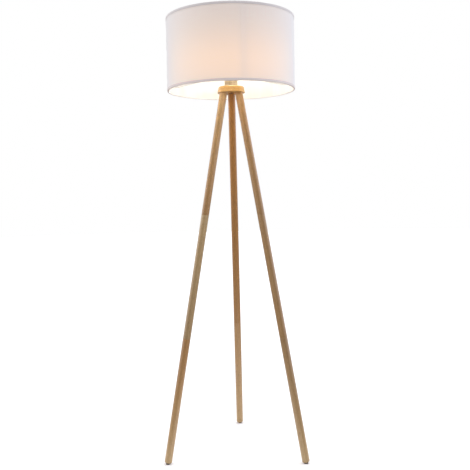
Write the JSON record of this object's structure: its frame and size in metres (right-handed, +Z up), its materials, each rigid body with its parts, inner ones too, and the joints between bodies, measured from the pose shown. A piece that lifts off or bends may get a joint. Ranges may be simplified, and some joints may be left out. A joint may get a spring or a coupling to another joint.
{
  "type": "tripod floor lamp",
  "caption": "Floor lamp with a drum fabric shade on a small round wooden hub and slim splayed round wooden legs in a tripod.",
  "frame": {"origin": "on the lamp's vertical axis at floor level, under the middle of the hub", "axes": "+Z up along the lamp's axis, +Y towards the back leg's foot, +X to the right with the back leg behind"},
  "size_m": [0.5016, 0.5131, 1.5466],
  "materials": {
    "black_insulator": "black vitrite glass",
    "brass_hardware": "machined",
    "brown_nylon": "moulded nylon, fine matt",
    "brushed_nickel": "spun steel, brushed nickel plate",
    "bulb_cap_metal": "pressed, bright",
    "ceramic_core": "unglazed",
    "clear_glass": "clear",
    "filament": "phosphor coated",
    "frosted_glass": "inside frosted",
    "leg_wood": "turned dowel, clear satin lacquer",
    "painted_wire": "white powder coat",
    "rubber_glide": "moulded, matt",
    "shade_fabric": "plain-woven white polycotton",
    "shade_liner": "translucent white styrene sheet",
    "trim_tape": "rolled white cloth tape",
    "turned_hub_wood": "turned, clear satin lacquer",
    "white_plastic": "moulded thermoplastic, fine matt",
    "zinc_hardware": "bright zinc plated"
  },
  "bodies": {
    "stand": {"centre_contact": "brass_hardware", "cord_bushing": "brown_nylon", "foot_glide_back": "rubber_glide", "foot_glide_left": "rubber_glide", "foot_glide_right": "rubber_glide", "holder_body": "white_plastic", "holder_cap": "white_plastic", "holder_core": "ceramic_core", "holder_sleeve": "brushed_nickel", "hub": "turned_hub_wood", "hub_joint_inserts": "brass_hardware", "hub_joint_studs": "zinc_hardware", "leg_back_lower": "leg_wood", "leg_back_middle": "leg_wood", "leg_back_upper": "leg_wood", "leg_left_lower": "leg_wood", "leg_left_middle": "leg_wood", "leg_left_upper": "leg_wood", "leg_right_lower": "leg_wood", "leg_right_middle": "leg_wood", "leg_right_upper": "leg_wood", "lower_joint_inserts": "brass_hardware", "lower_joint_studs": "zinc_hardware", "rod_lock_screw": "zinc_hardware", "rod_nut_lower": "zinc_hardware", "rod_nut_upper": "zinc_hardware", "rod_washer": "zinc_hardware", "terminal_screws": "zinc_hardware", "thread_shell": "brass_hardware", "threaded_rod": "zinc_hardware", "upper_joint_inserts": "brass_hardware", "upper_joint_studs": "zinc_hardware"},
    "shade": {"shade_cloth": "shade_fabric", "shade_liner": "shade_liner", "top_trim": "trim_tape", "bottom_trim": "trim_tape", "top_wire_ring": "painted_wire", "bottom_wire_ring": "painted_wire", "spider_arms": "painted_wire", "fitter_ring": "painted_wire"},
    "clamp_ring": {"clamp_ring": "white_plastic"},
    "bulb": {"bulb_cap": "bulb_cap_metal", "bulb_contact": "brass_hardware", "bulb_filaments": "filament", "bulb_glass": "frosted_glass", "bulb_insulator": "black_insulator", "bulb_stem": "clear_glass"}
  },
  "joints": [
    {"name": "shade_turn", "type": "hinge", "parent": "stand", "child": "shade", "pos_m": [0, 0, 1.34], "axis": [0, 0, 1], "continuous": true},
    {"name": "clamp_ring_lift", "type": "slide", "parent": "stand", "child": "clamp_ring", "axis": [0, 0, 1], "range_m": [0, 0.024]},
    {"name": "bulb_lift", "type": "slide", "parent": "stand", "child": "bulb", "axis": [0, 0, 1], "range_m": [0, 0.25]}
  ]
}
